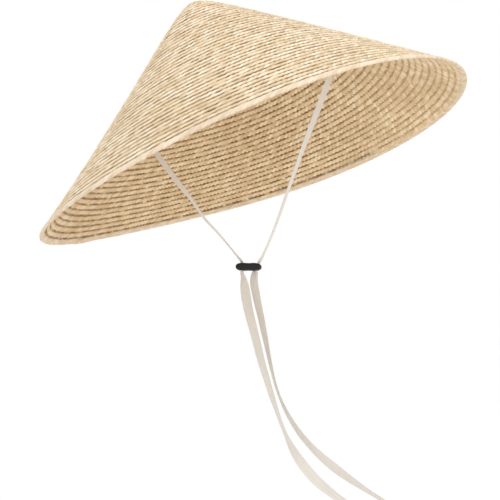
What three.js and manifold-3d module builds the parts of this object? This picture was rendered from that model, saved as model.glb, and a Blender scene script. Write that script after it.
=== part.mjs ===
// Conical sewn-straw hat with a cloth headband and a ribbon chin strap on a two-hole slider.
// Millimetres, +Z up along the cone, -Y is the wearer's front and +X the wearer's left.
// The origin is the middle of the headband's lower edge, where the hat meets the head.
import * as THREE from "three";
import { mergeVertices } from "three/addons/utils/BufferGeometryUtils.js";
import Module from "manifold-3d";

const wasm = await Module();
wasm.setup();

// Cone
const RIM_RADIUS = 210; // the brim's edge is 420 mm across
const HEIGHT = 169; // from the rim's plane to the tip
const TIP_ROUND = 16; // how far out the tip's rounding reaches
const SAG = 2; // how far the slope dips below a straight cone, halfway down
const BAND_ABOVE_RIM = 82; // the headband's lower edge is this far above the rim's plane
const STRAW_THICK = 3.6; // two overlapping layers of braid
const TIP_COIL_RADIUS = 11;
const TIP_THICK = 4.1; // the straw's thickness near the tip, measured straight down
const RIM_ROW_WIDTH = 8;
const RIM_ROW_REACH = 6.2; // how far in from the rim its row starts, measured level
const RIM_ROW_THICK = 5;
const GAP = 0.3; // clearance between touching pieces
const SEGMENTS = 64;

// The hand-sewn brim isn't flat or round: these are its departures at the rim.
const RIM_TWIST = 6.9; // opposite quarters rise and fall by this much
const RIM_TILT = [-2.9, -2.7]; // rise towards +X and towards +Y
const RIM_OVAL = 0.047; // share of the radius added on one diagonal and taken off the other

// Headband: a cloth tape that lies against the straw, where a 57 cm head meets the cone
const BAND_LOW = 108; // its lower edge is under this radius of the outer surface
const BAND_HIGH = 86;
const BAND_THICK = 1.4;
const STITCH_SIZE = 0.9;
const STITCH_INSET = 3; // from the band's upper edge
const JOIN_WIDTH = 14; // cloth tab that covers the band's butted ends, at the back
const JOIN_THICK = 1;
const JOIN_HEIGHT = 20;
const JOIN_DROP = 1.5; // how far its middle lies outside the band's middle radius

// Ribbons and slider
const RIBBON_WIDTH = 9.4;
const RIBBON_THICK = 0.8;
const RIBBON_END_LENGTH = 13; // length of ribbon sewn flat to the band
const RIBBON_LOW = { right: 104, left: 108 }; // radius where each ribbon leaves the band
const TACK = [0.6, 6, 8];
const SLIDER_CENTRE = [-45.4, 0, -170.1];
const SLIDER_TILT = 23; // degrees about Y: its left end hangs lower
const SLIDER_SIZE = [24.2, 10, 8];
const SLIDER_WAIST = 0.45; // how far each long side pinches in
const SLIDER_EDGE = 1.6;
const HOLE_OFFSET = 7; // each hole's middle, from the slider's middle
const HOLE_SIZE = [5.2, 6.6];

const COLOURS = {
  straw: [0xd9be8c, 0.75],
  strawEdge: [0xe6cf9f, 0.7],
  band: [0xd8cdb8, 0.9],
  thread: [0xe8e0d0, 0.85],
  ribbon: [0xd9d0c3, 0.8],
  plastic: [0x151515, 0.4],
};

const group = new THREE.Group();

function addPart(name, geometry, colour) {
  const [color, roughness] = COLOURS[colour];
  const mesh = new THREE.Mesh(geometry, new THREE.MeshStandardMaterial({ color, roughness, metalness: 0 }));
  mesh.name = name;
  group.add(mesh);
}

// Height of the outer straw surface at a distance from the axis: a cone with a rounded tip.
function outerHeight(radius) {
  const reach = (r) => Math.hypot(r, TIP_ROUND);
  const drop = (HEIGHT * (reach(RIM_RADIUS) - reach(radius))) / (reach(RIM_RADIUS) - TIP_ROUND);
  const share = radius / RIM_RADIUS;
  return drop - 4 * SAG * share * (1 - share) - BAND_ABOVE_RIM;
}

// How steep the outer surface is at a distance from the axis, in radians.
function slopeAt(radius) {
  const step = 0.5;
  return radius < step ? 0 : Math.atan2(outerHeight(radius - step) - outerHeight(radius + step), 2 * step);
}

// The point a given depth below the outer surface, square to the slope: [radius, height].
function below(radius, depth) {
  const slope = slopeAt(radius);
  return [radius - depth * Math.sin(slope), outerHeight(radius) - depth * Math.cos(slope)];
}

// Bends a geometry with the brim, more and more towards the rim.
function bendWithBrim(geometry) {
  const place = geometry.attributes.position;
  for (let i = 0; i < place.count; i += 1) {
    const x = place.getX(i);
    const y = place.getY(i);
    const share = (x * x + y * y) / RIM_RADIUS ** 2;
    const angle = Math.atan2(y, x);
    const rise = RIM_TILT[0] * Math.cos(angle) + RIM_TILT[1] * Math.sin(angle) - RIM_TWIST * Math.sin(2 * angle);
    const stretch = 1 + share * RIM_OVAL * Math.sin(2 * angle);
    place.setXYZ(i, x * stretch, y * stretch, place.getZ(i) + share * rise);
  }
  geometry.computeVertexNormals();
  return geometry;
}

// A body turned about Z from [radius, height] points, which close on themselves or end on the axis.
function turned(points, segments = SEGMENTS) {
  const onAxis = points[0][0] === 0;
  const outline = onAxis ? points : [...points, points[0]];
  const geometry = new THREE.LatheGeometry(outline.map(([r, z]) => new THREE.Vector2(r, z)), segments);
  return geometry.rotateX(Math.PI / 2);
}

function toManifold(geometry) {
  const bare = new THREE.BufferGeometry();
  bare.setAttribute("position", geometry.attributes.position.clone());
  bare.setIndex(geometry.index ? geometry.index.clone() : null);
  const merged = mergeVertices(bare, 1e-4);
  return new wasm.Manifold(
    new wasm.Mesh({
      numProp: 3,
      vertProperties: new Float32Array(merged.attributes.position.array),
      triVerts: new Uint32Array(merged.index.array),
    }),
  );
}

function fromManifold(solid) {
  const mesh = solid.getMesh();
  const geometry = new THREE.BufferGeometry();
  geometry.setAttribute("position", new THREE.BufferAttribute(new Float32Array(mesh.vertProperties), 3));
  geometry.setIndex(new THREE.BufferAttribute(new Uint32Array(mesh.triVerts), 1));
  geometry.computeVertexNormals();
  return geometry;
}

// The braid: one long plait sewn round and round. Its start is the small coil at the tip, and its
// last turn is the thicker row at the rim.
function addBraid() {
  const steps = 6;
  const tipTop = [];
  const tipUnder = [];
  for (let i = 0; i <= steps; i += 1) {
    const radius = (TIP_COIL_RADIUS * i) / steps;
    tipTop.push([radius, outerHeight(radius)]);
    tipUnder.push([radius, outerHeight(radius) - TIP_THICK]);
  }
  addPart("tip_coil", turned([...tipUnder, ...tipTop.reverse()], 32), "straw");

  const coneTop = TIP_COIL_RADIUS + GAP;
  const coneRim = RIM_RADIUS - RIM_ROW_REACH;
  const radii = [coneTop, 15, 20, 27, 40, 60, 91, 120, 150, 180, coneRim];
  const outer = radii.map((radius) => [radius, outerHeight(radius)]);
  const inner = radii.slice(2).map((radius) => below(radius, STRAW_THICK));
  const mouth = [coneTop, outerHeight(coneTop) - TIP_THICK];
  addPart("straw_cone", bendWithBrim(turned([mouth, ...inner, ...outer.reverse()])), "straw");

  const middle = below(RIM_RADIUS - RIM_ROW_REACH / 2, STRAW_THICK / 2);
  const slope = slopeAt(RIM_RADIUS - RIM_ROW_WIDTH / 2);
  const corners = 10;
  const section = [];
  for (let i = 0; i < corners; i += 1) {
    const angle = (2 * Math.PI * i) / corners;
    const along = (RIM_ROW_WIDTH / 2 - GAP) * Math.sign(Math.cos(angle)) * Math.abs(Math.cos(angle)) ** 0.6;
    const across = (RIM_ROW_THICK / 2) * Math.sign(Math.sin(angle)) * Math.abs(Math.sin(angle)) ** 0.7;
    section.push([
      middle[0] + along * Math.cos(slope) + across * Math.sin(slope),
      middle[1] - along * Math.sin(slope) + across * Math.cos(slope),
    ]);
  }
  addPart("rim_row", bendWithBrim(turned(section)), "strawEdge");
}

// The depth of the band's inner face below the outer straw surface.
const BAND_FACE = STRAW_THICK + GAP + BAND_THICK;

// A flat piece that lies on the band's inner face: length up the slope, width round the hat.
function onBand(radius, [thick, width, length], gap, turn) {
  const [r, z] = below(radius, BAND_FACE + gap + thick / 2);
  const piece = new THREE.BoxGeometry(thick, width, length).rotateY(slopeAt(radius) - Math.PI / 2);
  return bendWithBrim(piece.translate(r, 0, z).rotateZ(turn));
}

// The cloth tape that rests on the head, stitched to the straw along its upper edge.
function addHeadband() {
  const radii = [BAND_HIGH, (BAND_LOW + BAND_HIGH) / 2, BAND_LOW];
  const outer = radii.map((radius) => below(radius, STRAW_THICK + GAP));
  const inner = radii.map((radius) => below(radius, BAND_FACE));
  addPart("sweatband", bendWithBrim(turned([...inner, ...outer.reverse()])), "band");

  const stitchLow = BAND_HIGH + STITCH_INSET;
  const stitch = [
    below(stitchLow, BAND_FACE + GAP),
    below(stitchLow, BAND_FACE + GAP + STITCH_SIZE),
    below(stitchLow - STITCH_SIZE, BAND_FACE + GAP + STITCH_SIZE),
    below(stitchLow - STITCH_SIZE, BAND_FACE + GAP),
  ];
  addPart("sweatband_stitching", bendWithBrim(turned(stitch.reverse())), "thread");

  const joinSize = [JOIN_THICK, JOIN_WIDTH, JOIN_HEIGHT];
  const joinRadius = (BAND_LOW + BAND_HIGH) / 2 + JOIN_DROP;
  addPart("sweatband_join", onBand(joinRadius, joinSize, 2 * GAP, Math.PI / 2), "band");
}

// A flat ribbon along a route. Its width lies along Y where sideways is true, and else in the plane
// of the route.
function ribbon(route, sideways) {
  const halfWidth = RIBBON_WIDTH / 2;
  const halfThick = RIBBON_THICK / 2;
  const lip = halfThick * 0.8;
  const corners = [
    [halfWidth - lip, halfThick],
    [-halfWidth + lip, halfThick],
    [-halfWidth, halfThick - lip],
    [-halfWidth, -halfThick + lip],
    [-halfWidth + lip, -halfThick],
    [halfWidth - lip, -halfThick],
    [halfWidth, -halfThick + lip],
    [halfWidth, halfThick - lip],
  ];
  const section = new THREE.Shape(corners.map(([w, t]) => (sideways ? new THREE.Vector2(w, t) : new THREE.Vector2(t, w))));
  const path = new THREE.CatmullRomCurve3(route.map(([x, y, z]) => new THREE.Vector3(x, y, z)), false, "centripetal");
  return new THREE.ExtrudeGeometry(section, { steps: route.length * 2, extrudePath: path, bevelEnabled: false });
}

// Routes of the two ribbons, from the band to the slider and on to the free ends. Each was laid out
// by hand as it hangs: right is the wearer's right, at -X.
const ROUTES = {
  right_strap_leg: [
    [-100.2, 0, 2.4], [-99.2, 0, -3], [-97, 0, -10], [-94, 0, -18], [-90.4, 0, -26], [-86.8, 0, -36.4],
    [-83.6, 0, -48], [-80.2, 0, -60.9], [-76, 0, -76], [-71.4, 0, -92], [-67, 0, -111.8], [-59.9, 0, -131.1],
    [-54.4, 0, -148.6], [-51.6, 0, -158], [-50.4, 0, -161.8], [-50.1, 0, -163.2],
  ],
  left_strap_leg: [
    [104.2, 0, -2.4], [103.6, 0, -7], [102, 0, -13], [99.4, 0, -20], [95.8, 0, -28], [90, 0, -35.6],
    [80.4, 0, -46.2], [69, 0, -58.6], [54.6, 0, -74], [41.4, 0, -88.4], [28, 0, -103.6], [14.6, 0, -118.6],
    [3, 0, -132], [-6, 0, -142], [-14.8, 0, -151.2], [-23.6, 0, -159.8], [-30.8, 0, -166.2],
    [-34.2, 0, -168.6], [-35.5, 0, -169.7],
  ],
  right_tail_top: [
    [-53.4, 0, -172], [-54, 0, -173.6], [-54.3, -0.4, -178], [-55.2, -1, -183.4], [-56.6, -1.4, -189.4],
    [-58.4, -1.8, -197], [-60.2, -2.2, -206], [-61.8, -2.6, -217], [-63.2, -2.9, -228], [-64.8, -3, -240], [-66.4, -3, -251],
    [-67.7, -3, -261.8],
  ],
  left_tail_top: [
    [-42.2, 0, -176.8], [-42.9, 0, -178.4], [-44.8, 0.4, -181.8], [-46.7, 1, -186.8], [-48.4, 1.6, -195],
    [-50.5, 2.2, -205.6], [-52.3, 2.6, -217], [-54.2, 2.9, -227], [-56.2, 3, -238], [-58.4, 3, -249.6],
    [-60.6, 3, -261.8],
  ],
  right_tail: [
    [-67.8, -3, -262.2], [-68.6, -3, -274], [-69.8, -3, -287], [-70.6, -3, -300], [-71.2, -3, -314],
    [-71.2, -3, -327], [-70.4, -3, -339], [-68.4, -3, -351], [-65, -3, -363.4], [-59.8, -3, -376.6],
    [-53, -3, -389], [-45.4, -3, -401], [-37, -3, -412.6], [-28, -3, -424], [-18.8, -3, -434.6],
    [-9.4, -3, -444.4], [0, -3, -453],
  ],
  left_tail: [
    [-60.7, 3, -262.2], [-62.2, 3, -272], [-63.5, 3, -283], [-64, 3, -294], [-63.5, 3, -305], [-62, 3, -317],
    [-59.4, 3, -329.4], [-55.2, 3, -342.4], [-49, 3, -356.6], [-41.2, 3, -371], [-31.8, 3, -386],
    [-21.8, 3, -400.4], [-13.6, 3, -411.4], [-7.6, 3, -419.4], [-1.6, 3, -427],
  ],
};

// Each ribbon's upper end lies flat on the band's inner face and is held by a bar tack.
function addRibbons() {
  for (const [side, turn] of [["right", Math.PI], ["left", 0]]) {
    const endRadius = RIBBON_LOW[side] - (RIBBON_END_LENGTH / 2) * Math.cos(slopeAt(BAND_LOW));
    const endSize = [RIBBON_THICK, RIBBON_WIDTH, RIBBON_END_LENGTH];
    addPart(`${side}_ribbon_end`, onBand(endRadius, endSize, GAP, turn), "ribbon");
    addPart(`${side}_ribbon_tack`, onBand(endRadius, TACK, RIBBON_THICK + 2 * GAP, turn), "thread");

    addPart(`${side}_strap_leg`, ribbon(ROUTES[`${side}_strap_leg`], true), "ribbon");
    addPart(`${side}_tail_top`, ribbon(ROUTES[`${side}_tail_top`], false), "ribbon");
    addPart(`${side}_tail`, ribbon(ROUTES[`${side}_tail`], false), "ribbon");
  }
}

// A black bar with a hole for each ribbon, pinched a little between them.
function addSlider() {
  const [width, depth, height] = SLIDER_SIZE;
  const halfWidth = width / 2 - SLIDER_EDGE;
  const halfHeight = height / 2 - SLIDER_EDGE;
  const corner = halfHeight;
  const outline = new THREE.Shape();
  outline.moveTo(halfWidth - corner, -halfHeight);
  outline.absarc(halfWidth - corner, 0, corner, -Math.PI / 2, Math.PI / 2, false);
  outline.quadraticCurveTo(0, halfHeight - 2 * SLIDER_WAIST, -halfWidth + corner, halfHeight);
  outline.absarc(-halfWidth + corner, 0, corner, Math.PI / 2, (3 * Math.PI) / 2, false);
  outline.quadraticCurveTo(0, -halfHeight + 2 * SLIDER_WAIST, halfWidth - corner, -halfHeight);
  const bar = new THREE.ExtrudeGeometry(outline, {
    depth: depth - 2 * SLIDER_EDGE,
    bevelThickness: SLIDER_EDGE,
    bevelSize: SLIDER_EDGE,
    bevelSegments: 3,
    curveSegments: 6,
  });
  bar.translate(0, 0, -depth / 2 + SLIDER_EDGE).rotateX(Math.PI / 2);
  let solid = toManifold(bar);
  for (const sign of [-1, 1]) {
    const hole = new THREE.BoxGeometry(HOLE_SIZE[0], HOLE_SIZE[1], height * 2);
    solid = solid.subtract(toManifold(hole.translate(sign * HOLE_OFFSET, 0, 0)));
  }
  const tilted = fromManifold(solid).rotateY((SLIDER_TILT * Math.PI) / 180);
  addPart("slider", tilted.translate(...SLIDER_CENTRE), "plastic");
}

addBraid();
addHeadband();
addRibbons();
addSlider();

export default group;
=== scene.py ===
import math

import bpy
import numpy as np
from mathutils import Matrix, Vector


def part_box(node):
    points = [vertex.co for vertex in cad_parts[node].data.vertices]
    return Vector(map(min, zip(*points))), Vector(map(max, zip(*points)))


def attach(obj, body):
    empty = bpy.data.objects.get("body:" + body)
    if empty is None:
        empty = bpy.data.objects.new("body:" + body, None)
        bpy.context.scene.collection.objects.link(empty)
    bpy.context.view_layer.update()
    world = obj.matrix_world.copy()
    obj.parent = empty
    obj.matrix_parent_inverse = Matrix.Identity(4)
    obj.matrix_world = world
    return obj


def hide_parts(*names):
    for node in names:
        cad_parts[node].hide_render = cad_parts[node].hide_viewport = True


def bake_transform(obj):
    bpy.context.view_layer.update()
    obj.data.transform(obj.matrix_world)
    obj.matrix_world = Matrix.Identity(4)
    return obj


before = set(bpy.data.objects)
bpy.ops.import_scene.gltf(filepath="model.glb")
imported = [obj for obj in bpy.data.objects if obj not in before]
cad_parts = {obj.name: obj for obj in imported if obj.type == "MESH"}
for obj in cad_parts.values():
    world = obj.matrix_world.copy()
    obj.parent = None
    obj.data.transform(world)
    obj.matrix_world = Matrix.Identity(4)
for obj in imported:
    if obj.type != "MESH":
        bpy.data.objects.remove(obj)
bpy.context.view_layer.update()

MM = 0.001

# Cone, as in the CAD source: metres, +Z up, -Y the wearer's front, +X the wearer's left
RIM_RADIUS = 210 * MM
HEIGHT = 169 * MM
TIP_ROUND = 16 * MM
SAG = 2 * MM  # how far the slope dips below a straight cone, halfway down
TIP_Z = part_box("tip_coil")[1].z
RIM_TWIST = 6.9 * MM  # opposite quarters of the rim rise and fall by this much
RIM_TILT = (-2.9 * MM, -2.7 * MM)  # the rim's rise towards +X and towards +Y
RIM_OVAL = 0.047  # share of the radius added on one diagonal and taken off the other

# Plait
ROW_PITCH = 6.4 * MM  # from one turn to the next, down the slope
PLAIT_WIDTH = 8.9 * MM
PLAIT_THICK = 1.6 * MM
PLAIT_DEPTH = 1.65 * MM  # of the plait's middle below the outer surface
PLAIT_TILT = 0.55 * MM  # its lower edge laps over the next turn by this much
STRAND_STEP = 4.6 * MM  # from one crossing strand to the next, along the plait
SAMPLES_PER_STRAND = 5
PLAIT_START = 2.7 * MM  # down the slope, from the tip to the middle of its first turn
PLAIT_STOP = 4.6 * MM  # up the slope, from the rim to the middle of its last plain turn
SCALLOP = 0.4 * MM  # how far the turning strands push its edges out and in
STRAND_RELIEF = 0.24 * MM  # how far the crossing strands stand up
CHEVRON = 2 * math.pi * 0.9  # how far a strand's crest slants, from the plait's middle to its edge
LEAST_LENGTH = 0.15 * MM  # no point of the plait comes nearer to the tip, down the slope
TIP_TURNS = 1.6  # turns that belong to the coil at the tip
TIP_FOLD_LENGTH = 13 * MM
TIP_FOLD_DEPTH = 2.6 * MM
CONE_PIECES = 6

# Thick last row
RIM_WIDTH = 6.8 * MM
RIM_THICK = 2.5 * MM
RIM_DEPTH = 1.3 * MM  # of its middle below the outer surface
RIM_END_ANGLE = math.radians(163)  # where the last turn's cut end shows
RIM_END_LAP = math.radians(5)
RIM_END_DROP = 0.9 * MM  # how far the lapping end slips down the slope
RIM_END_SINK = 0.4  # share of that drop by which it also goes deeper
RIM_STEP = 0.9 * MM  # from one section to the next
RIM_CORNERS = 18  # points round each section

# Headband, where the CAD source has it
BAND_LOW = 108 * MM
BAND_HIGH = 86 * MM
BAND_FACE = 5.3 * MM  # depth of the band's inner face below the outer straw surface
BAND_THICK = 1.3 * MM
BAND_STEPS = 360
BAND_STITCHES = 150
BAND_STITCH_INSET = 2.6 * MM  # from the band's upper edge
TAB_SIZE = (14 * MM, 20 * MM)
TAB_DROP = 1.5 * MM  # how far its middle lies outside the band's middle radius

# Ribbons
RIBBON_WIDTH = 9.4 * MM
RIBBON_THICK = 0.28 * MM
RIBBON_LOW = {"right": 104 * MM, "left": 108 * MM}  # radius where each leaves the band, as in the CAD source
RIBBON_END_LENGTH = 13 * MM
ROOT_DROP = 24 * MM  # from a ribbon's start down to the end of its first part, where the leg is cut in two
RIBBON_STEP = 1.2  # millimetres between a ribbon's sections
SPLINE_STEPS = 12  # points between two points of a route
RIBBON_SHARP_ANGLE = math.radians(70)

# Slider, where the CAD source has it. The tilt is about the hat's Y axis and lowers its left end
SLIDER_CENTRE = Vector((-45.4, 0, -170.1)) * MM
SLIDER_TILT = math.radians(23)
SLIDER_SIZE = (24.2 * MM, 10 * MM, 8 * MM)
SLIDER_PINCH = 0.13  # share of its height taken off at the middle
SLIDER_EDGE = 2.1 * MM
HOLE_OFFSET = 7 * MM
HOLE_SIZE = (5.2 * MM, 6.6 * MM)


# ---------------------------------------------------------------- camera, light and floor

CAMERA_PLACE = Vector((0, -0.9284, -0.2584))
CAMERA_TARGET = Vector((-0.0383, 0, -0.1558))
CAMERA_ROLL = math.radians(-21.98)
CAMERA_LENS = 71.8
FLOOR_Z = -0.7


def add_camera():
    data = bpy.data.cameras.new("camera")
    data.lens = CAMERA_LENS
    data.sensor_width = 36
    camera = bpy.data.objects.new("camera", data)
    bpy.context.scene.collection.objects.link(camera)
    level = (CAMERA_TARGET - CAMERA_PLACE).to_track_quat("-Z", "Y").to_matrix()
    turned = level @ Matrix.Rotation(CAMERA_ROLL, 3, "Z")
    camera.matrix_world = Matrix.Translation(CAMERA_PLACE) @ turned.to_4x4()
    bpy.context.scene.camera = camera


def add_area_light(name, place, target, size, power):
    data = bpy.data.lights.new(name, "AREA")
    data.shape = "DISK"
    data.size = size
    data.energy = power
    light = bpy.data.objects.new(name, data)
    bpy.context.scene.collection.objects.link(light)
    light.location = place
    light.rotation_euler = (Vector(target) - Vector(place)).to_track_quat("-Z", "Y").to_euler()


def add_studio():
    scene = bpy.context.scene
    scene.view_settings.view_transform = "Standard"
    world = bpy.data.worlds.new("studio")
    world.use_nodes = True
    scene.world = world
    background = world.node_tree.nodes["Background"]
    background.inputs["Color"].default_value = (1, 1, 1, 1)
    background.inputs["Strength"].default_value = 1.0
    add_area_light("key_light", place=(1.1, -1.1, 1.3), target=(0, 0, -0.05), size=1.2, power=13)

    bpy.ops.mesh.primitive_plane_add(size=12, location=(0, 0, FLOOR_Z))
    floor = bpy.context.active_object
    floor.name = "floor"
    floor.data.materials.append(plain_material("floor_paint", (1, 1, 1), 0.95))


# ---------------------------------------------------------------- materials

class Nodes:
    """A short way to write a material's node tree."""

    def __init__(self, name):
        self.material = bpy.data.materials.new(name)
        self.material.use_nodes = True
        self.tree = self.material.node_tree
        self.shader = self.tree.nodes["Principled BSDF"]

    def link(self, source, target):
        self.tree.links.new(source, target)

    def add(self, kind, **inputs):
        node = self.tree.nodes.new(kind)
        for key, value in inputs.items():
            self.put(node.inputs[key.replace("_", " ")], value)
        return node

    def put(self, socket, value):
        if isinstance(value, bpy.types.NodeSocket):
            self.link(value, socket)
        else:
            socket.default_value = value

    def attribute(self, name):
        node = self.tree.nodes.new("ShaderNodeAttribute")
        node.attribute_name = name
        return node.outputs["Fac"]

    def math(self, operation, a, b=0.0, c=0.0):
        node = self.tree.nodes.new("ShaderNodeMath")
        node.operation = operation
        for socket, value in zip(node.inputs, (a, b, c)):
            self.put(socket, value)
        return node.outputs[0]

    def between(self, value, low, high, out_low=0.0, out_high=1.0):
        node = self.tree.nodes.new("ShaderNodeMapRange")
        node.interpolation_type = "SMOOTHSTEP"
        for socket, item in zip(node.inputs, (value, low, high, out_low, out_high)):
            self.put(socket, item)
        return node.outputs[0]

    def mix(self, share, a, b, kind="MIX"):
        node = self.tree.nodes.new("ShaderNodeMix")
        node.data_type = "RGBA"
        node.blend_type = kind
        self.put(node.inputs["Factor"], share)
        self.put(node.inputs["A"], (*a, 1) if isinstance(a, tuple) else a)
        self.put(node.inputs["B"], (*b, 1) if isinstance(b, tuple) else b)
        return node.outputs["Result"]

    def noise(self, vector, scale, detail=2.0, rough=0.5):
        node = self.add("ShaderNodeTexNoise", Scale=scale, Detail=detail, Roughness=rough)
        if vector is not None:
            self.link(vector, node.inputs["Vector"])
        return node.outputs["Fac"]

    def random(self, value):
        node = self.tree.nodes.new("ShaderNodeTexWhiteNoise")
        node.noise_dimensions = "1D"
        self.link(value, node.inputs["W"])
        return node.outputs["Value"]

    def vector(self, x, y, z=0.0):
        node = self.tree.nodes.new("ShaderNodeCombineXYZ")
        for socket, value in zip(node.inputs, (x, y, z)):
            self.put(socket, value)
        return node.outputs[0]

    def bump(self, height, strength, distance):
        node = self.add("ShaderNodeBump", Strength=strength, Distance=distance)
        self.link(height, node.inputs["Height"])
        self.link(node.outputs["Normal"], self.shader.inputs["Normal"])


def plain_material(name, colour, roughness):
    nodes = Nodes(name)
    nodes.shader.inputs["Base Color"].default_value = (*colour, 1)
    nodes.shader.inputs["Roughness"].default_value = roughness
    return nodes.material


def straw_material(name, outside, inside, lap_shade_and_dirt, lap_shade_and_dirt_strength):
    """Plaited straw: crossing strands, each of its own shade, and a broken dark band of painted shade and
    dirt where turns lap.
    """
    nodes = Nodes(name)
    along = nodes.attribute("along")
    across = nodes.attribute("across")
    face = nodes.attribute("face")
    spread = nodes.math("ABSOLUTE", across)

    # strands cross at a slant, meeting in a chevron down the middle
    slant = nodes.math("MULTIPLY_ADD", along, 1 / STRAND_STEP, nodes.math("MULTIPLY", spread, 1.1))
    strand = nodes.math("FLOOR", slant)
    half = nodes.math("SIGN", across)
    strand_shade = nodes.random(nodes.math("MULTIPLY_ADD", half, 0.37, strand))
    in_strand = nodes.math("FRACT", slant)
    gap = nodes.math("ABSOLUTE", nodes.math("SUBTRACT", in_strand, 0.5))
    strand_gap = nodes.between(gap, 0.36, 0.5)

    # slow changes of shade along the plait and over the hat
    place = nodes.tree.nodes.new("ShaderNodeTexCoord").outputs["Object"]
    patch = nodes.noise(place, 14, 3, 0.6)
    length_wise = nodes.noise(nodes.vector(nodes.math("MULTIPLY", along, 22), across), 1.0, 3, 0.65)
    fibre_place = nodes.vector(nodes.math("MULTIPLY", slant, 14), nodes.math("MULTIPLY", spread, 2))
    fibre = nodes.noise(fibre_place, 1.0, 2)

    base, light, dark = (nodes.mix(nodes.between(face, -0.2, 0.2), *pair) for pair in zip(inside, outside))
    colour = nodes.mix(nodes.between(strand_shade, 0.45, 1.0, 0.0, 0.9), base, light)
    colour = nodes.mix(nodes.between(strand_shade, 0.42, 0.0, 0.0, 0.55), colour, dark)
    colour = nodes.mix(nodes.between(patch, 0.35, 0.75, 0.0, 0.35), colour, dark)
    colour = nodes.mix(nodes.between(length_wise, 0.5, 0.8, 0.0, 0.5), colour, light)
    # painted shade in the grooves between crossing strands
    colour = nodes.mix(nodes.math("MULTIPLY", strand_gap, 0.4), colour, dark)

    # the painted shade and dirt lie where the next turn laps: near the upper edge outside, near the lower
    # edge inside
    signed = nodes.math("MULTIPLY", across, face)
    wave = nodes.math("SINE", nodes.math("MULTIPLY", along, 2 * math.pi / STRAND_STEP))
    wander_place = nodes.vector(nodes.math("MULTIPLY", along, 160), 0.0)
    wander = nodes.math("SUBTRACT", nodes.noise(wander_place, 1.0, 2), 0.5)
    uneven = nodes.math("MULTIPLY_ADD", wave, 0.1, nodes.math("MULTIPLY_ADD", wander, 0.5, signed))
    narrower_inside = nodes.between(face, -0.2, 0.2, 0.06, -0.04)
    near_lap_shade = nodes.between(nodes.math("ADD", uneven, narrower_inside), 0.12, -0.14)
    broken = nodes.noise(nodes.vector(nodes.math("MULTIPLY", along, 70), 5.0), 1.0, 2, 0.7)
    side = nodes.add("ShaderNodeSeparateXYZ", Vector=place).outputs["X"]
    lap_shade_fade = nodes.between(side, 0.06, 0.19, 1.0, 0.5)  # the painted lap shade is halved towards +X, the side the key light comes from
    lap_shade_share = nodes.math("MULTIPLY", near_lap_shade, nodes.between(broken, 0.34, 0.56, 0.15, 1.0))
    lap_shade_share = nodes.math("MULTIPLY", lap_shade_share, lap_shade_fade)
    # darken the colour with painted shade and dirt along the lapped turns
    colour = nodes.mix(nodes.math("MULTIPLY", lap_shade_share, lap_shade_and_dirt_strength), colour, lap_shade_and_dirt)

    nodes.link(colour, nodes.shader.inputs["Base Color"])
    rough = nodes.between(strand_shade, 0.0, 1.0, 0.62, 0.46)
    nodes.link(rough, nodes.shader.inputs["Roughness"])
    nodes.shader.inputs["Specular IOR Level"].default_value = 0.35
    relief = nodes.math("MULTIPLY_ADD", fibre, 0.35, nodes.math("SUBTRACT", 1.0, strand_gap))
    nodes.bump(relief, 0.5, 0.25 * MM)
    return nodes.material


def cloth_material(name, light, dark, thread, along_scale=1.0):
    """Woven cloth: fine crossing threads with faint lengthwise lines."""
    nodes = Nodes(name)
    along = nodes.attribute("along")
    across = nodes.attribute("across")
    warp = nodes.math("SINE", nodes.math("MULTIPLY", across, 2 * math.pi / thread))
    weft = nodes.math("SINE", nodes.math("MULTIPLY", along, 2 * math.pi / (thread * 1.1)))
    weave = nodes.math("MULTIPLY", warp, weft)
    line_along = nodes.math("MULTIPLY", along, 9 * along_scale)
    line_place = nodes.vector(line_along, nodes.math("MULTIPLY", across, 1400))
    lines = nodes.noise(line_place, 1.0, 3, 0.6)
    cloud_place = nodes.vector(nodes.math("MULTIPLY", along, 45), nodes.math("MULTIPLY", across, 90))
    clouds = nodes.noise(cloud_place, 1.0, 2)
    colour = nodes.mix(nodes.between(lines, 0.3, 0.7), dark, light)
    colour = nodes.mix(nodes.between(clouds, 0.35, 0.75, 0.0, 0.35), colour, dark)
    colour = nodes.mix(nodes.between(weave, -1.0, 0.2, 0.18, 0.0), colour, dark)
    nodes.link(colour, nodes.shader.inputs["Base Color"])
    nodes.shader.inputs["Roughness"].default_value = 0.78
    nodes.shader.inputs["Sheen Weight"].default_value = 0.25
    nodes.shader.inputs["Sheen Roughness"].default_value = 0.4
    nodes.shader.inputs["Specular IOR Level"].default_value = 0.25
    nodes.bump(nodes.math("MULTIPLY_ADD", lines, 0.8, weave), 0.35, 0.12 * MM)
    return nodes.material


def thread_material(name, light, dark):
    nodes = Nodes(name)
    place = nodes.tree.nodes.new("ShaderNodeTexCoord").outputs["Object"]
    twist = nodes.add("ShaderNodeTexWave", Scale=2600.0, Distortion=1.5, Detail=1.0)
    nodes.link(place, twist.inputs["Vector"])
    nodes.link(nodes.mix(twist.outputs["Fac"], dark, light), nodes.shader.inputs["Base Color"])
    nodes.shader.inputs["Roughness"].default_value = 0.7
    nodes.shader.inputs["Specular IOR Level"].default_value = 0.3
    nodes.bump(twist.outputs["Fac"], 0.4, 0.08 * MM)
    return nodes.material


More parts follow.
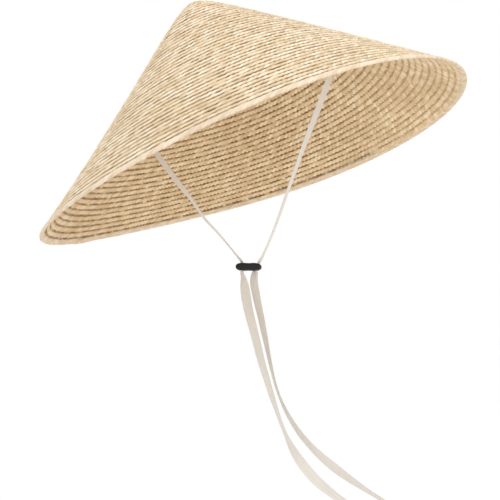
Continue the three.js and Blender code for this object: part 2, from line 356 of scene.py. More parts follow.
def plastic_material(name):
    """Black moulded plastic with a fine moulded grain and paler rubbed edges."""
    nodes = Nodes(name)
    place = nodes.tree.nodes.new("ShaderNodeTexCoord").outputs["Object"]
    grain = nodes.noise(place, 2600, 3, 0.6)
    marks = nodes.noise(place, 320, 4, 0.7)
    geometry = nodes.tree.nodes.new("ShaderNodeNewGeometry")
    edge = nodes.between(geometry.outputs["Pointiness"], 0.52, 0.6)
    colour = nodes.mix(nodes.between(marks, 0.4, 0.7), (0.006, 0.006, 0.006), (0.014, 0.014, 0.013))
    colour = nodes.mix(nodes.math("MULTIPLY", edge, 0.5), colour, (0.05, 0.05, 0.052))
    nodes.link(colour, nodes.shader.inputs["Base Color"])
    nodes.link(nodes.between(marks, 0.3, 0.75, 0.36, 0.56), nodes.shader.inputs["Roughness"])
    nodes.shader.inputs["Specular IOR Level"].default_value = 0.33
    nodes.bump(grain, 0.25, 0.06 * MM)
    return nodes.material


# ---------------------------------------------------------------- shapes shared by the pieces

def outer_height(radius):
    """Height of the outer straw surface at a distance from the axis: a cone with a rounded tip."""
    rim_reach = math.hypot(RIM_RADIUS, TIP_ROUND)
    fall = HEIGHT * (np.hypot(radius, TIP_ROUND) - TIP_ROUND) / (rim_reach - TIP_ROUND)
    share = radius / RIM_RADIUS
    return TIP_Z - fall - 4 * SAG * share * (1 - share)


GRID = np.linspace(0, RIM_RADIUS + 4 * MM, 4281)
GRID_SLOPE = np.arctan(-np.gradient(outer_height(GRID), GRID))
GRID_LENGTH = np.concatenate([[0], np.cumsum(np.hypot(np.diff(GRID), np.diff(outer_height(GRID))))])
SLOPE_LENGTH = float(np.interp(RIM_RADIUS, GRID, GRID_LENGTH))


def on_cone(angle, length, depth):
    """Points at an angle round the axis, a length down the slope and a depth below the outer surface."""
    radius = np.interp(length, GRID_LENGTH, GRID)
    slope = np.interp(radius, GRID, GRID_SLOPE)
    out = radius - depth * np.sin(slope)
    height = outer_height(radius) - depth * np.cos(slope)
    return with_brim_bend(np.stack([out * np.cos(angle), out * np.sin(angle), height], -1))


def at_radius(angle, radius, depth):
    return on_cone(angle, np.interp(radius, GRID, GRID_LENGTH), depth)


def with_brim_bend(points):
    """Bends points with the brim, more and more towards the rim."""
    x, y, z = points[..., 0], points[..., 1], points[..., 2]
    share = (x * x + y * y) / RIM_RADIUS**2
    angle = np.arctan2(y, x)
    rise = RIM_TILT[0] * np.cos(angle) + RIM_TILT[1] * np.sin(angle) - RIM_TWIST * np.sin(2 * angle)
    stretch = 1 + share * RIM_OVAL * np.sin(2 * angle)
    return np.stack([x * stretch, y * stretch, z + share * rise], -1)


def make_piece(name, points, faces, material, smooth=True, attributes=None):
    mesh = bpy.data.meshes.new(name)
    mesh.from_pydata(points.reshape(-1, 3).tolist(), [], faces)
    for key, values in (attributes or {}).items():
        attribute = mesh.attributes.new(key, "FLOAT", "POINT")
        attribute.data.foreach_set("value", np.asarray(values, np.float32).ravel())
    mesh.materials.append(material)
    mesh.validate()
    mesh.update()
    if smooth:
        mesh.shade_smooth()
    piece = bpy.data.objects.new(name, mesh)
    bpy.context.scene.collection.objects.link(piece)
    return piece


def tube_faces(rows, columns, start=0, closed=False):
    """Faces of a closed tube whose vertices are rows of sections with that many points each."""
    faces = []
    last = rows if closed else rows - 1
    for i in range(last):
        a = start + i * columns
        b = start + ((i + 1) % rows) * columns
        for j in range(columns):
            k = (j + 1) % columns
            faces.append((a + j, a + k, b + k, b + j))
    if not closed:
        faces.append(tuple(start + j for j in reversed(range(columns))))
        faces.append(tuple(start + (rows - 1) * columns + j for j in range(columns)))
    return faces


def facing_out(piece):
    """Turns a closed piece's faces outwards."""
    bpy.context.view_layer.objects.active = piece
    piece.select_set(True)
    bpy.ops.object.mode_set(mode="EDIT")
    bpy.ops.mesh.select_all(action="SELECT")
    bpy.ops.mesh.normals_make_consistent(inside=False)
    bpy.ops.object.mode_set(mode="OBJECT")
    piece.select_set(False)
    return piece


def finish_piece(piece, body, slot, *nodes):
    facing_out(piece)
    if body:
        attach(piece, body)
    if nodes:
        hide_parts(*nodes)
    return piece


# ---------------------------------------------------------------- straw

# The plait's section, point by point: across it, which way the point faces, and its share of the thickness
SECTION_ACROSS = np.array([1, 0.84, 0.5, 0.17, -0.17, -0.5, -0.84, -1, -0.84, -0.5, -0.17, 0.17, 0.5, 0.84])
SECTION_FACE = np.array([0, 1, 1, 1, 1, 1, 1, 0, -1, -1, -1, -1, -1, -1])
SECTION_THICK = np.array([0, 0.72, 0.97, 1, 1, 0.97, 0.72, 0, 0.72, 0.97, 1, 1, 0.97, 0.72])
SECTION_SIDE = np.array([0.6, 1, 1, 1, 1, 1, 1, -0.6, -1, -1, -1, -1, -1, -1])


def wobble(along, seed, period, size):
    """A smooth uneven wander along the plait, made of a few sines."""
    local = np.random.default_rng(seed)
    total = np.zeros_like(along)
    for k in range(5):
        wave = period * local.uniform(0.5, 2.2)
        total += np.sin(2 * math.pi * along / wave + local.uniform(0, 2 * math.pi)) / (1 + 0.4 * k)
    return total * size / 2.2


def plait_route():
    """Angle, length down the slope and distance along the plait, from the tip to the rim."""
    turns = (SLOPE_LENGTH - PLAIT_STOP - PLAIT_START) / ROW_PITCH
    angle = np.linspace(0, 2 * math.pi * turns, int(turns * 720))
    length = PLAIT_START + ROW_PITCH * angle / (2 * math.pi)
    radius = np.interp(length, GRID_LENGTH, GRID)
    along = np.concatenate([[0], np.cumsum(np.diff(angle) * (radius[1:] + radius[:-1]) / 2)])
    step = STRAND_STEP / SAMPLES_PER_STRAND
    even = np.arange(0, along[-1], step)
    return np.interp(even, along, angle), np.interp(even, along, length), even


def per_strand(along, seed, size):
    """An uneven value that changes from strand to strand, smoothed between them."""
    local = np.random.default_rng(seed)
    count = int(along[-1] / STRAND_STEP) + 4
    return np.interp(along / STRAND_STEP, np.arange(count), local.normal(0, size, count))


def plait_sections(angle, length, along):
    """The plait's closed sections: a flat tilted strip with scalloped edges and crossing strands."""
    phase = 2 * math.pi * along / STRAND_STEP
    narrow = np.clip(0.68 + along / (60 * MM), 0, 1)
    scallop = SCALLOP * np.sin(phase)
    lower_edge = narrow * (PLAIT_WIDTH / 2 + scallop + per_strand(along, 11, 0.28 * MM))
    upper_edge = narrow * (PLAIT_WIDTH / 2 - scallop + per_strand(along, 12, 0.2 * MM))
    middle = length + wobble(along, 3, 0.14, 0.3 * MM)
    across = SECTION_ACROSS[None, :]
    face = SECTION_FACE[None, :]
    chevron = np.cos(phase[:, None] + CHEVRON * np.abs(across) + np.where(face < 0, math.pi, 0))
    bulge = per_strand(along, 5, 0.13 * MM)[:, None]
    thick = PLAIT_THICK / 2 + bulge + STRAND_RELIEF * chevron
    height = np.sign(face) * SECTION_THICK[None, :] * thick
    depth = PLAIT_DEPTH - PLAIT_TILT * across - height + wobble(along, 9, 0.3, 0.12 * MM)[:, None]
    half_width = np.where(across > 0, lower_edge[:, None], upper_edge[:, None])
    down = middle[:, None] + across * half_width
    points = on_cone(angle[:, None] + 0 * across, np.maximum(down, LEAST_LENGTH), depth)
    count = len(along)
    attributes = {
        "along": np.repeat(along, len(SECTION_ACROSS)),
        "across": np.tile(SECTION_ACROSS, count),
        "face": np.tile(SECTION_SIDE, count),
    }
    return points, attributes


def add_plait(material):
    angle, length, along = plait_route()
    tip_end = int(np.searchsorted(angle, 2 * math.pi * TIP_TURNS))
    cuts = [0, tip_end]
    share = (len(angle) - tip_end) / CONE_PIECES
    cuts += [tip_end + int(round(share * (i + 1))) for i in range(CONE_PIECES)]
    cuts[-1] = len(angle)
    for i, (start, end) in enumerate(zip(cuts[:-1], cuts[1:])):
        stop = min(end + 1, len(angle))
        part = slice(start, stop)
        points, attributes = plait_sections(angle[part], length[part], along[part])
        name = "tip_plait" if i == 0 else f"cone_plait_{i}"
        faces = tube_faces(len(points), len(SECTION_ACROSS))
        piece = make_piece(name, points, faces, material, attributes=attributes)
        finish_piece(piece, "hat", "straw", "tip_coil" if i == 0 else "straw_cone")


def add_tip_fold(material):
    """The plait's first end, folded flat under the coil so that the tip is closed."""
    along = np.linspace(0, TIP_FOLD_LENGTH, 24)
    phase = 2 * math.pi * along / STRAND_STEP
    across = SECTION_ACROSS[None, :]
    half_width = (PLAIT_WIDTH / 2 + 0.3 * MM * np.sin(phase))[:, None]
    chevron = np.cos(phase[:, None] + CHEVRON * np.abs(across))
    height = SECTION_FACE[None, :] * SECTION_THICK[None, :] * (PLAIT_THICK / 2 + 0.2 * MM * chevron)
    x = (along - TIP_FOLD_LENGTH / 2)[:, None] + 0 * across
    y = across * half_width
    z = outer_height(np.hypot(x, y)) - TIP_FOLD_DEPTH + height
    attributes = {
        "along": np.repeat(along, len(SECTION_ACROSS)),
        "across": np.tile(SECTION_ACROSS * 0.3, len(along)),
        "face": np.tile(SECTION_SIDE, len(along)),
    }
    points = np.stack([x, y, z], -1)
    faces = tube_faces(len(along), len(SECTION_ACROSS))
    piece = make_piece("tip_fold", points, faces, material, attributes=attributes)
    finish_piece(piece, "hat", "straw", "tip_coil")


def add_rim(material):
    """The thick last row, whose end laps over its start."""
    middle = SLOPE_LENGTH - RIM_WIDTH * 0.46
    steps = int(2 * math.pi * RIM_RADIUS / RIM_STEP)
    angle = RIM_END_ANGLE + np.linspace(0, 2 * math.pi + RIM_END_LAP, steps)
    along = (angle - angle[0]) * RIM_RADIUS
    turn = 2 * math.pi * np.arange(RIM_CORNERS) / RIM_CORNERS
    across = np.sign(np.cos(turn)) * np.abs(np.cos(turn)) ** 0.75
    up = np.sign(np.sin(turn)) * np.abs(np.sin(turn)) ** 0.75
    phase = 2 * math.pi * along / STRAND_STEP
    to_end = np.minimum(angle - angle[0], angle[-1] - angle)  # the row thins towards its two ends
    start_thin = 0.72 + 0.28 * np.clip((angle - angle[0]) / RIM_END_LAP, 0, 1)
    end_drop = RIM_END_DROP * np.clip((angle - angle[-1] + 2 * RIM_END_LAP) / RIM_END_LAP, 0, 1)
    half_width = (RIM_WIDTH / 2 + 0.16 * MM * np.sin(phase) + wobble(along, 21, 0.12, 0.25 * MM)) * start_thin
    chevron = np.cos(phase[:, None] + CHEVRON * np.abs(across[None, :]))
    plain_half = (RIM_THICK / 2 + wobble(along, 22, 0.07, 0.16 * MM)) * start_thin
    taper = np.clip(to_end / (0.4 * RIM_END_LAP) + 0.55, 0, 1)
    half_thick = (plain_half[:, None] + 0.1 * MM * chevron) * taper[:, None]
    depth = RIM_DEPTH - up[None, :] * half_thick + end_drop[:, None] * RIM_END_SINK
    down = middle + across[None, :] * half_width[:, None] + end_drop[:, None]
    points = on_cone(angle[:, None] + 0 * across, down, depth)
    attributes = {
        "along": np.repeat(along, RIM_CORNERS),
        "across": np.tile(across, steps),
        "face": np.tile(np.where(up >= 0, 1.0, -1.0), steps),
    }
    piece = make_piece("rim_plait", points, tube_faces(steps, RIM_CORNERS), material, attributes=attributes)
    finish_piece(piece, "hat", "straw_edge", "rim_row")


# ---------------------------------------------------------------- headband and sewn ribbon ends

def stitch(centre, along, up, length, thick, sides=6, rings=5):
    """Points and faces of one stitch: a short thread that dips in at both ends."""
    points = []
    for i in range(rings):
        t = i / (rings - 1)
        rise = math.sin(math.pi * t)
        size = thick * (0.45 + 0.55 * rise) / 2
        middle = centre + along * ((t - 0.5) * length) + up * (rise * thick * 0.45 - thick * 0.1)
        side = np.cross(up, along)
        for j in range(sides):
            a = 2 * math.pi * j / sides
            points.append(middle + side * (math.cos(a) * size) + up * (math.sin(a) * size))
    return np.array(points), tube_faces(rings, sides)


def add_stitches(name, places, length, thick, material, body, slot, *nodes):
    """One piece that holds a row of stitches. places gives each one's centre, direction and outward way."""
    points, faces, start = [], [], 0
    for centre, along, up in places:
        some, more = stitch(centre, along, up, length, thick)
        points.append(some)
        faces += [tuple(start + k for k in face) for face in more]
        start += len(some)
    piece = make_piece(name, np.concatenate(points), faces, material)
    return finish_piece(piece, body, slot, *nodes)


def inner_frame(angle, radius, depth):
    """A point under the straw, with the directions round the hat, down the slope and into the hat."""
    here = at_radius(angle, radius, depth)
    turn = at_radius(angle + 0.002, radius, depth) - at_radius(angle - 0.002, radius, depth)
    down = at_radius(angle, radius + 0.5 * MM, depth) - at_radius(angle, radius - 0.5 * MM, depth)
    turn /= np.linalg.norm(turn)
    down /= np.linalg.norm(down)
    inward = np.cross(turn, down)
    if inward[2] > 0:
        inward = -inward
    return here, turn, down, inward / np.linalg.norm(inward)


def add_headband(cloth, thread):
    """The cloth tape: rolled edges and a slight waviness where it is eased onto the straw."""
    low = np.interp(BAND_LOW, GRID, GRID_LENGTH)
    high = np.interp(BAND_HIGH, GRID, GRID_LENGTH)
    angle = np.linspace(0, 2 * math.pi, BAND_STEPS, endpoint=False) + math.pi / 2
    across = np.array([1, 0.97, 0.85, 0.5, 0.17, -0.17, -0.5, -0.85, -0.97, -1])
    roll = np.array([0, 0.8, 1.25, 0.62, 0.55, 0.55, 0.62, 1.15, 0.8, 0])
    section_across = np.concatenate([across, across[-2:0:-1]])
    section_up = np.concatenate([-roll, roll[-2:0:-1]])
    half_length = (low - high) / 2
    ease = 0.25 * MM * np.sin(angle * 31) + 0.2 * MM * np.sin(angle * 47 + 1)
    waist = 1 - np.abs(section_across) ** 4
    middle_depth = BAND_FACE - BAND_THICK / 2
    depth = middle_depth - section_up[None, :] * BAND_THICK / 2 + ease[:, None] * waist[None, :]
    down = (low + high) / 2 + section_across[None, :] * half_length + ease[:, None] * 0.6
    points = on_cone(angle[:, None] + 0 * section_across, down, depth)
    along = (angle - angle[0]) * (BAND_LOW + BAND_HIGH) / 2
    attributes = {
        "along": np.repeat(along, len(section_across)),
        "across": np.tile(section_across * half_length, BAND_STEPS),
    }
    faces = tube_faces(BAND_STEPS, len(section_across), closed=True)
    piece = make_piece("headband_tape", points, faces, cloth, attributes=attributes)
    finish_piece(piece, "hat", "band", "sweatband")

    places = []
    for i in range(BAND_STITCHES):
        angle = 2 * math.pi * i / BAND_STITCHES
        here, turn, _, inward = inner_frame(angle, BAND_HIGH + BAND_STITCH_INSET, BAND_FACE + 0.35 * MM)
        places.append((here, turn, inward))
    size = (2.9 * MM, 0.7 * MM)
    add_stitches("headband_stitches", places, *size, thread, "hat", "thread", "sweatband_stitching")


def add_patch(name, angle, radius, size, depth, thick, cloth, slot, fold, *nodes):
    """A flat cloth patch on the band's face, with rounded corners and slightly puffed edges."""
    width, length = size
    rows, columns = 25, 15
    here, turn, down, inward = inner_frame(angle, radius, depth)
    u = np.linspace(-1, 1, rows)
    v = np.linspace(-1, 1, columns)
    uu, vv = np.meshgrid(u, v, indexing="ij")
    # rounded corners, a raised edge, and a slight wave
    corner = 1 - 0.06 * (np.abs(uu) ** 6) * (np.abs(vv) ** 6)
    rim = np.maximum(np.abs(uu), np.abs(vv))
    puff = thick / 2 * (1 - rim**10) * (1 + 0.25 * np.exp(-(((rim - 0.86) / 0.06) ** 2)))
    wave = fold * (np.sin(uu * 3 + vv * 2) * 0.5 + np.sin(vv * 5 - uu) * 0.3) * (1 - rim**4)
    base = (
        here
        + turn * (vv * corner * width / 2)[..., None]
        + down * (uu * corner * length / 2)[..., None]
        + inward * (wave + thick * 0.1)[..., None]
    )
    top = base + inward * puff[..., None]
    under = base - inward * puff[..., None]
    points = np.concatenate([top.reshape(-1, 3), under.reshape(-1, 3)])
    faces = []
    offset = rows * columns
    for i in range(rows - 1):
        for j in range(columns - 1):
            a = i * columns + j
            quad = (a, a + 1, a + columns + 1, a + columns)
            faces.append(quad)
            faces.append(tuple(offset + k for k in reversed(quad)))
    attributes = {
        "along": np.tile((uu * length / 2).ravel(), 2),
        "across": np.tile((vv * width / 2).ravel(), 2),
    }
    piece = make_piece(name, points, faces, cloth, attributes=attributes)
    weld(piece, 0.02 * MM)
    finish_piece(piece, "hat", slot, *nodes)
    return here, turn, down, inward


def weld(piece, distance):
    bpy.context.view_layer.objects.active = piece
    piece.select_set(True)
    bpy.ops.object.mode_set(mode="EDIT")
    bpy.ops.mesh.select_all(action="SELECT")
    bpy.ops.mesh.remove_doubles(threshold=distance)
    bpy.ops.object.mode_set(mode="OBJECT")
    piece.select_set(False)


def add_join(cloth, thread):
    """The tab over the tape's butted ends at the back, sewn down along its two long sides."""
    width = TAB_SIZE[0]
    radius = (BAND_LOW + BAND_HIGH) / 2 + TAB_DROP
    spot = add_patch(
        "headband_tab", math.pi / 2, radius, TAB_SIZE, BAND_FACE + 1.1 * MM, 1.0 * MM, cloth, "band",
        0.15 * MM, "sweatband_join",
    )
    here, turn, down, inward = spot
    places = []
    for side in (-1, 1):
        for k in range(6):
            centre = here + turn * (side * width * 0.38) + down * ((k - 2.5) * 3 * MM) + inward * 0.6 * MM
            places.append((centre, down, inward))
    add_stitches("headband_tab_stitches", places, 2.2 * MM, 0.5 * MM, thread, "hat", "thread")


def add_ribbon_ends(ribbon, thread):
    """The ends of the two ribbons, sewn flat on the band's face with a close bar of stitches."""
    for side, angle in (("right", math.pi), ("left", 0.0)):
        radius = RIBBON_LOW[side] - RIBBON_END_LENGTH / 2 * 0.77
        spot = add_patch(
            f"{side}_ribbon_hem", angle, radius, (RIBBON_WIDTH, RIBBON_END_LENGTH),
            BAND_FACE + 0.7 * MM, 0.7 * MM, ribbon, "ribbon", 0.1 * MM, f"{side}_ribbon_end",
        )
        here, turn, down, inward = spot
        places = []
        for k in range(13):
            lean = 1 if k % 2 else -1
            centre = here + turn * ((k - 6) * 0.42 * MM) + down * 1.5 * MM + inward * 0.5 * MM
            direction = down + turn * (0.12 * lean)
            places.append((centre, direction / np.linalg.norm(direction), inward))
        name = f"{side}_bar_tack"
        add_stitches(name, places, 5.6 * MM, 0.5 * MM, thread, "hat", "thread", f"{side}_ribbon_tack")


# ---------------------------------------------------------------- ribbons

# Routes, as in the CAD source, in millimetres: right is the wearer's right, at -X
ROUTES = {
    "right_strap_leg": [
        (-100.2, 0, 2.4), (-99.2, 0, -3), (-97, 0, -10), (-94, 0, -18), (-90.4, 0, -26),
        (-86.8, 0, -36.4), (-83.6, 0, -48), (-80.2, 0, -60.9), (-76, 0, -76), (-71.4, 0, -92),
        (-67, 0, -111.8), (-59.9, 0, -131.1), (-54.4, 0, -148.6), (-51.6, 0, -158),
        (-50.4, 0, -161.8), (-50.1, 0, -163.2),
    ],
    "left_strap_leg": [
        (104.2, 0, -2.4), (103.6, 0, -7), (102, 0, -13), (99.4, 0, -20), (95.8, 0, -28),
        (90, 0, -35.6), (80.4, 0, -46.2), (69, 0, -58.6), (54.6, 0, -74), (41.4, 0, -88.4),
        (28, 0, -103.6), (14.6, 0, -118.6), (3, 0, -132), (-6, 0, -142), (-14.8, 0, -151.2),
        (-23.6, 0, -159.8), (-30.8, 0, -166.2), (-34.2, 0, -168.6), (-35.5, 0, -169.7),
    ],
    "right_tail_top": [
        (-53.4, 0, -172), (-54, 0, -173.6), (-54.3, -0.4, -178), (-55.2, -1, -183.4), (-56.6, -1.4, -189.4),
        (-58.4, -1.8, -197), (-60.2, -2.2, -206), (-61.8, -2.6, -217), (-63.2, -2.9, -228),
        (-64.8, -3, -240), (-66.4, -3, -251), (-67.7, -3, -261.8),
    ],
    "left_tail_top": [
        (-42.2, 0, -176.8), (-42.9, 0, -178.4), (-44.8, 0.4, -181.8), (-46.7, 1, -186.8), (-48.4, 1.6, -195),
        (-50.5, 2.2, -205.6), (-52.3, 2.6, -217), (-54.2, 2.9, -227), (-56.2, 3, -238), (-58.4, 3, -249.6),
        (-60.6, 3, -261.8),
    ],
    "right_tail": [
        (-67.8, -3, -262.2), (-68.6, -3, -274), (-69.8, -3, -287), (-70.6, -3, -300), (-71.2, -3, -314),
        (-71.2, -3, -327), (-70.4, -3, -339), (-68.4, -3, -351), (-65, -3, -363.4), (-59.8, -3, -376.6),
        (-53, -3, -389), (-45.4, -3, -401), (-37, -3, -412.6), (-28, -3, -424), (-18.8, -3, -434.6),
        (-9.4, -3, -444.4), (0, -3, -453),
    ],
    "left_tail": [
        (-60.7, 3, -262.2), (-62.2, 3, -272), (-63.5, 3, -283), (-64, 3, -294), (-63.5, 3, -305),
        (-62, 3, -317), (-59.4, 3, -329.4), (-55.2, 3, -342.4), (-49, 3, -356.6), (-41.2, 3, -371),
        (-31.8, 3, -386),
        (-21.8, 3, -400.4), (-13.6, 3, -411.4), (-7.6, 3, -419.4), (-1.6, 3, -427),
    ],
}

# How far each ribbon is turned at its route's points, in degrees: 0 lies front to back, 90 faces the front
TURNS = {
    "right_strap_leg": [0, 8, 16, 25, 32, 35, 35, 33, 30, 20, 14, 12, 11, 12, 16, 20],
    "left_strap_leg": [
        0, -8, -17, -26, -32, -34, -34, -31, -25, -19, -15, -12, -10, -8, -8, -9, -12, -18, -26,
    ],
    "right_tail_top": [28, 32, 50, 68, 76, 78, 72, 66, 62, 58, 54, 48],
    "left_tail_top": [60, 62, 62, 60, 56, 50, 44, 42, 36, 28, 24],
    "right_tail": [48, 44, 38, 30, 24, 26, 46, 74, 88, 84, 62, 52, 48, 46, 46, 50, 54],
    "left_tail": [24, 19, 17, 17, 24, 30, 38, 42, 54, 66, 50, 32, 28, 26, 24],
}

# How much of its width each ribbon keeps where it gathers to go through the slider
GATHER = {
    "right_strap_leg": [1, 1, 1, 1, 1, 1, 1, 1, 1, 1, 1, 0.95, 0.85, 0.72, 0.62, 0.6],
    "left_strap_leg": [1, 1, 1, 1, 1, 1, 1, 1, 1, 1, 1, 1, 1, 1, 0.95, 0.85, 0.75, 0.64, 0.6],
    "right_tail_top": [0.6, 0.64, 0.76, 0.92, 1, 1, 1, 1, 1, 1, 1, 1],
    "left_tail_top": [0.72, 0.78, 0.88, 0.96, 1, 1, 1, 1, 1, 1, 1],
}


def smooth_route(points, turns, gathers, step):
    """The route as even points, with the turn and gather at each."""
    points = np.array(points, float)
    spline = catmull_rom(points, SPLINE_STEPS)
    along = np.concatenate([[0], np.cumsum(np.linalg.norm(np.diff(spline, axis=0), axis=1))])
    knots = along[::SPLINE_STEPS][: len(points)]
    even = np.linspace(0, along[-1], int(along[-1] / step) + 1)
    line = np.stack([np.interp(even, along, spline[:, k]) for k in range(3)], -1)
    return line, np.interp(even, knots, turns), np.interp(even, knots, gathers), even


def catmull_rom(points, per):
    """A smooth curve through the points, with that many steps between each two."""
    padded = np.concatenate([[2 * points[0] - points[1]], points, [2 * points[-1] - points[-2]]])
    out = []
    for i in range(len(points) - 1):
        p0, p1, p2, p3 = padded[i : i + 4]
        for k in range(per):
            t = k / per
            square = 2 * p0 - 5 * p1 + 4 * p2 - p3
            cube = 3 * p1 - p0 - 3 * p2 + p3
            out.append(0.5 * (2 * p1 + (p2 - p0) * t + square * t**2 + cube * t**3))
    out.append(points[-1])
    return np.array(out)


def soften(values, width):
    """A running mean, so that turns and gathers change smoothly."""
    kernel = np.ones(width) / width
    padded = np.concatenate([np.full(width, values[0]), values, np.full(width, values[-1])])
    return np.convolve(padded, kernel, "same")[width:-width]


def ribbon_sections(route, turns, gathers):
    """The closed sections of a ribbon along a route, and its centre line."""
    line, turns, gathers, along = smooth_route(route, turns, gathers, RIBBON_STEP)
    turns = np.radians(soften(turns, 9))
    gathers = soften(gathers, 3)
    tangent = np.gradient(line, axis=0)
    tangent /= np.linalg.norm(tangent, axis=1)[:, None]
    depth = np.array([0, 1.0, 0]) - tangent * tangent[:, 1:2]
    depth /= np.linalg.norm(depth, axis=1)[:, None]
    flat = np.cross(depth, tangent)
    wide = np.cos(turns)[:, None] * depth + np.sin(turns)[:, None] * flat
    thin = np.cross(tangent, wide)

    # half of a section, from edge to edge: thicker just inside each woven edge
    across = np.array([1, 0.97, 0.88, 0.66, 0.33, 0, -0.33, -0.66, -0.88, -0.97, -1])
    edge = np.array([0, 0.9, 1.35, 0.9, 0.9, 0.9, 0.9, 0.9, 1.35, 0.9, 0])
    section_across = np.concatenate([across, across[-2:0:-1]])
    section_up = np.concatenate([edge, -edge[-2:0:-1]])
    half = RIBBON_WIDTH / MM / 2
    # the ribbon folds into pleats where it gathers, and is a little crowned everywhere
    pleat = np.cos(section_across * 2.2 * math.pi)[None, :] * ((1 - gathers) * 2.0)[:, None]
    crown = 0.22 * (1 - section_across**2)[None, :]
    sideways = section_across[None, :] * half * gathers[:, None]
    rise = section_up[None, :] * RIBBON_THICK / MM / 2 + pleat + crown
    points = line[:, None, :] + wide[:, None, :] * sideways[..., None] + thin[:, None, :] * rise[..., None]
    attributes = {
        "along": np.repeat(along * MM, len(section_across)),
        "across": np.tile(section_across * half * MM, len(line)),
    }
    return points * MM, attributes, line * MM


def add_ribbon(name, material, sections, attributes):
    columns = sections.shape[1]
    faces = tube_faces(len(sections), columns)
    piece = facing_out(make_piece(name, sections, faces, material, attributes=attributes))
    piece.data.set_sharp_from_angle(angle=RIBBON_SHARP_ANGLE)
    return piece


def add_leg(name, material):
    """Cut in two: its first part, which curves where it leaves the band, and the rest, down to the slider."""
    points, attributes, line = ribbon_sections(ROUTES[name], TURNS[name], GATHER[name])
    columns = points.shape[1]
    cut = int(np.searchsorted(-line[:, 2], ROOT_DROP - line[0, 2]))
    first = {key: values[: (cut + 1) * columns] for key, values in attributes.items()}
    rest = {key: values[cut * columns :] for key, values in attributes.items()}

    root = add_ribbon(f"{name}_root", material, points[: cut + 1], first)
    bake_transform(root)
    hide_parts(name)

    leg = add_ribbon(f"{name}_ribbon", material, points[cut:], rest)
    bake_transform(leg)
    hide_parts(name)


def add_ribbons(material):
    """Each side's strap leg and the length inside the slider; below the slider, the tail top and then the
    tail.
    """
    for side in ("right", "left"):
        leg, top, tail = (f"{side}_{part}" for part in ("strap_leg", "tail_top", "tail"))
        add_leg(leg, material)
        add_threaded_length(side, material)

        points, attributes, line = ribbon_sections(ROUTES[top], TURNS[top], GATHER[top])
        piece = add_ribbon(f"{top}_ribbon", material, points, attributes)
        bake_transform(piece)
        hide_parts(top)

        route = [ROUTES[top][-1], *ROUTES[tail][1:]]
        points, attributes, line = ribbon_sections(route, TURNS[tail], [1] * len(route))
        piece = add_ribbon(f"{tail}_ribbon", material, points, attributes)
        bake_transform(piece)
        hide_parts(tail)


def add_threaded_length(side, material):
    """The short gathered length of ribbon inside the slider's hole, a little over each neighbour's end."""
    leg, top = ROUTES[f"{side}_strap_leg"], ROUTES[f"{side}_tail_top"]
    sign = -1 if side == "right" else 1
    tilt = Matrix.Rotation(SLIDER_TILT, 3, "Y")
    middle = SLIDER_CENTRE / MM + tilt @ Vector((sign * HOLE_OFFSET / MM, 0, 0))
    lead_in = Vector(leg[-1]).lerp(Vector(leg[-2]), 0.35)
    lead_out = Vector(top[0]).lerp(Vector(top[1]), 0.35)
    route = [tuple(point) for point in (lead_in, Vector(leg[-1]), middle, Vector(top[0]), lead_out)]
    first, last = TURNS[f"{side}_strap_leg"][-1], TURNS[f"{side}_tail_top"][0]
    narrow = (GATHER[f"{side}_strap_leg"][-1], GATHER[f"{side}_tail_top"][0])
    turns = [first, first, (first + last) / 2, last, last]
    gathers = [narrow[0], narrow[0], min(narrow) * 0.95, narrow[1], narrow[1]]
    points, attributes, _ = ribbon_sections(route, turns, gathers)
    piece = add_ribbon(f"{side}_ribbon_in_slider", material, points, attributes)
    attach(piece, "slider")


# ---------------------------------------------------------------- slider

def add_slider(material):
    """A rounded bar, pinched a little in the middle, with a rounded hole for each ribbon."""
    half_length, half_depth, half_height = (size / 2 for size in SLIDER_SIZE)
    rings = 13
    around = 96
    turn = 2 * math.pi * np.arange(around) / around
    outline_x = np.sign(np.cos(turn)) * np.abs(np.cos(turn)) ** 0.62 * half_length
    outline_z = np.sign(np.sin(turn)) * np.abs(np.sin(turn)) ** 0.8 * half_height
    outline_z *= 1 - SLIDER_PINCH * np.exp(-((outline_x / (0.35 * half_length)) ** 2))
    points = []
    for i in range(rings):
        lean = math.pi * (i / (rings - 1) - 0.5)
        y = math.copysign(abs(math.sin(lean)) ** 0.6, math.sin(lean)) * half_depth
        inset = SLIDER_EDGE * (1 - max(math.cos(lean), 0) ** 0.35)
        x = outline_x * (1 - inset / half_length)
        z = outline_z * (1 - inset / half_height)
        points.append(np.stack([x, np.full(around, y), z], -1))
    piece = make_piece("slider_bar", np.array(points), tube_faces(rings, around), material)
    facing_out(piece)
    for sign in (-1, 1):
        cutter = hole_cutter(Vector((sign * HOLE_OFFSET, 0, 0)), HOLE_SIZE, half_height * 3.2)
        cut = piece.modifiers.new("hole", "BOOLEAN")
        cut.operation = "DIFFERENCE"
        cut.solver = "EXACT"
        cut.object = cutter
        apply_modifier(piece, "hole")
        bpy.data.objects.remove(cutter)
    bevel = piece.modifiers.new("soft_edges", "BEVEL")
    bevel.width = 0.35 * MM
    bevel.segments = 2
    bevel.limit_method = "ANGLE"
    bevel.angle_limit = math.radians(50)
    apply_modifier(piece, "soft_edges")
    piece.data.transform(Matrix.Translation(SLIDER_CENTRE) @ Matrix.Rotation(SLIDER_TILT, 4, "Y"))
    return finish_piece(piece, "slider", "plastic", "slider")


def apply_modifier(piece, name):
    bpy.context.view_layer.objects.active = piece
    piece.select_set(True)
    bpy.ops.object.modifier_apply(modifier=name)
    piece.select_set(False)


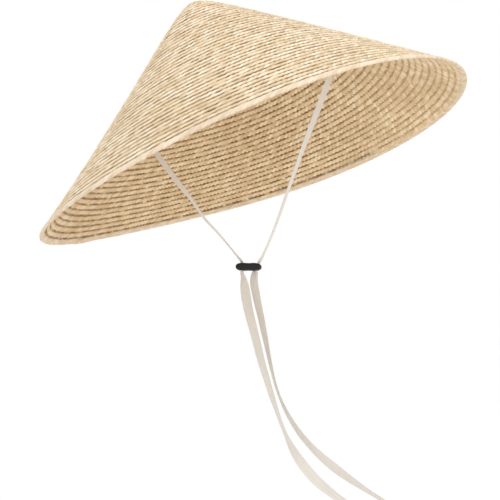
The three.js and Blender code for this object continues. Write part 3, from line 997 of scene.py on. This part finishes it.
def hole_cutter(centre, size, length):
    around = 32
    turn = 2 * math.pi * np.arange(around) / around
    x = np.sign(np.cos(turn)) * np.abs(np.cos(turn)) ** 0.6 * size[0] / 2
    y = np.sign(np.sin(turn)) * np.abs(np.sin(turn)) ** 0.6 * size[1] / 2
    flare = ((-0.5, 1.25), (-0.28, 1.06), (0.0, 1.0), (0.28, 1.06), (0.5, 1.25))
    points = [np.stack([x * grow, y * grow, np.full(around, t * length)], -1) for t, grow in flare]
    points = np.array(points) + np.array(centre)
    cutter = make_piece("cutter", points, tube_faces(len(flare), around), None, smooth=False)
    return facing_out(cutter)


# ---------------------------------------------------------------- making it

add_camera()
slider_piece = add_slider(plastic_material("black_plastic"))
ribbon_cloth = cloth_material("ribbon_cloth", (0.83, 0.78, 0.71), (0.71, 0.655, 0.585), 0.5 * MM)
add_ribbons(ribbon_cloth)
add_studio()

straw = straw_material(
    "plaited_straw",
    outside=((0.80, 0.635, 0.42), (0.93, 0.81, 0.63), (0.60, 0.43, 0.24)),
    inside=((0.72, 0.52, 0.30), (0.85, 0.68, 0.44), (0.55, 0.37, 0.18)),
    # painted shade and dirt where the turns lap
    lap_shade_and_dirt=(0.17, 0.09, 0.03),
    lap_shade_and_dirt_strength=0.97,
)
rim_straw = straw_material(
    "rim_straw",
    outside=((0.79, 0.64, 0.47), (0.86, 0.73, 0.57), (0.64, 0.49, 0.33)),
    inside=((0.70, 0.54, 0.36), (0.80, 0.66, 0.48), (0.56, 0.41, 0.24)),
    # the rim row gets no painted shade at its laps
    lap_shade_and_dirt=(0.5, 0.36, 0.2),
    lap_shade_and_dirt_strength=0.0,
)
add_plait(straw)
add_tip_fold(straw)
add_rim(rim_straw)

band_cloth = cloth_material("band_cloth", (0.74, 0.66, 0.53), (0.58, 0.50, 0.38), 0.7 * MM, 0.4)
sewing_thread = thread_material("sewing_thread", (0.85, 0.79, 0.66), (0.6, 0.52, 0.4))
add_headband(band_cloth, sewing_thread)
add_join(band_cloth, sewing_thread)
add_ribbon_ends(ribbon_cloth, sewing_thread)
